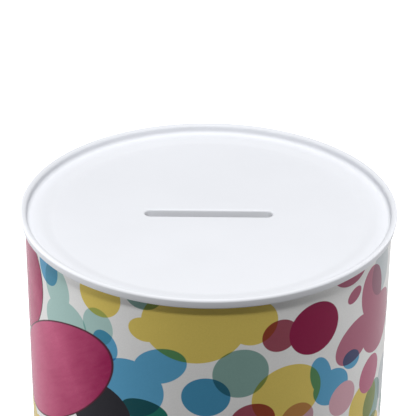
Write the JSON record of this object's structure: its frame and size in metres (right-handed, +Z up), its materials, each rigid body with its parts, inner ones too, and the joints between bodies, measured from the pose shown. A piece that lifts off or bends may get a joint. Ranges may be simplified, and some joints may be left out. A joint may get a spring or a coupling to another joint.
{
  "type": "tin money box",
  "caption": "Round tinplate money box: a printed can body with double-seamed ends, a coin slot in the top end and a push-in plug in the base.",
  "frame": {"origin": "centre of the ring that the tin stands on", "axes": "+Z up along the tin's axis, +X along the coin slot, the body's side seam on the +Y side"},
  "size_m": [0.102, 0.102, 0.12],
  "materials": {
    "printed_tin": "gloss varnish over a print of overlapping translucent ovals on white",
    "white_lacquer": "satin white lacquer",
    "bare_tin": "bright tinplate under clear lacquer",
    "lining_compound": "matt",
    "plug_plastic": "soft moulded, faintly milky"
  },
  "bodies": {
    "tin": {"can_body": "printed_tin", "top_end": "white_lacquer", "base_end": "bare_tin", "top_seam_compound": "lining_compound", "base_seam_compound": "lining_compound"},
    "plug": {"base_plug": "plug_plastic"}
  },
  "joints": [
    {"name": "plug_pull", "type": "slide", "parent": "tin", "child": "plug", "axis": [0, 0, -1], "range_m": [0, 0.02]}
  ]
}
